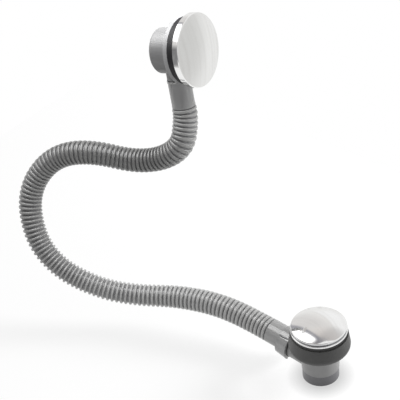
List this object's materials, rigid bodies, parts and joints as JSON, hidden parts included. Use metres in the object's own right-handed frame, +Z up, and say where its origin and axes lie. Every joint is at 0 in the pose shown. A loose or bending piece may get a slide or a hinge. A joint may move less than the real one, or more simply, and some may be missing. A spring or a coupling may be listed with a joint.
{
  "type": "bath waste and overflow",
  "caption": "Bath waste with a domed push plug, rubber cone seal and pipe outlet, joined by a corrugated hose to an overflow head with a round domed cover.",
  "frame": {"origin": "on the waste's axis, in the plane where the bath floor is clamped between the cone seal and the flange gasket", "axes": "+Z up the waste's axis, side port and hose towards -X"},
  "size_m": [0.3949, 0.1904, 0.364],
  "materials": {
    "grey_plastic": "satin moulded polypropylene",
    "hose_plastic": "satin blown polypropylene",
    "cone_rubber": "matt",
    "black_rubber": "matt",
    "chrome": "bright plated",
    "steel": "plain",
    "brass": "turned",
    "white_plastic": "moulded acetal"
  },
  "bodies": {
    "waste": {"waste_body": "grey_plastic", "hose_collar": "grey_plastic", "overflow_body": "grey_plastic", "overflow_hose": "hose_plastic", "cone_seal": "cone_rubber", "overflow_washer": "cone_rubber", "flange_gasket": "black_rubber", "port_seal": "black_rubber", "spigot_seal": "black_rubber", "cover_ring": "black_rubber", "waste_flange": "chrome", "overflow_cover": "chrome", "clamp_screw": "steel", "overflow_screw": "steel", "clicker_spring": "steel", "clamp_insert": "brass", "overflow_insert": "brass", "clicker_body": "brass", "clicker_cap": "white_plastic", "overflow_grid": "white_plastic"},
    "plug": {"plug_dome": "chrome", "plug_seal": "black_rubber", "clicker_plunger": "white_plastic", "clicker_cam": "white_plastic"}
  },
  "joints": [
    {"name": "plug_slide", "type": "slide", "parent": "waste", "child": "plug", "axis": [0, 0, 1], "range_m": [0, 0.007], "deforming": ["clicker_spring"]}
  ]
}
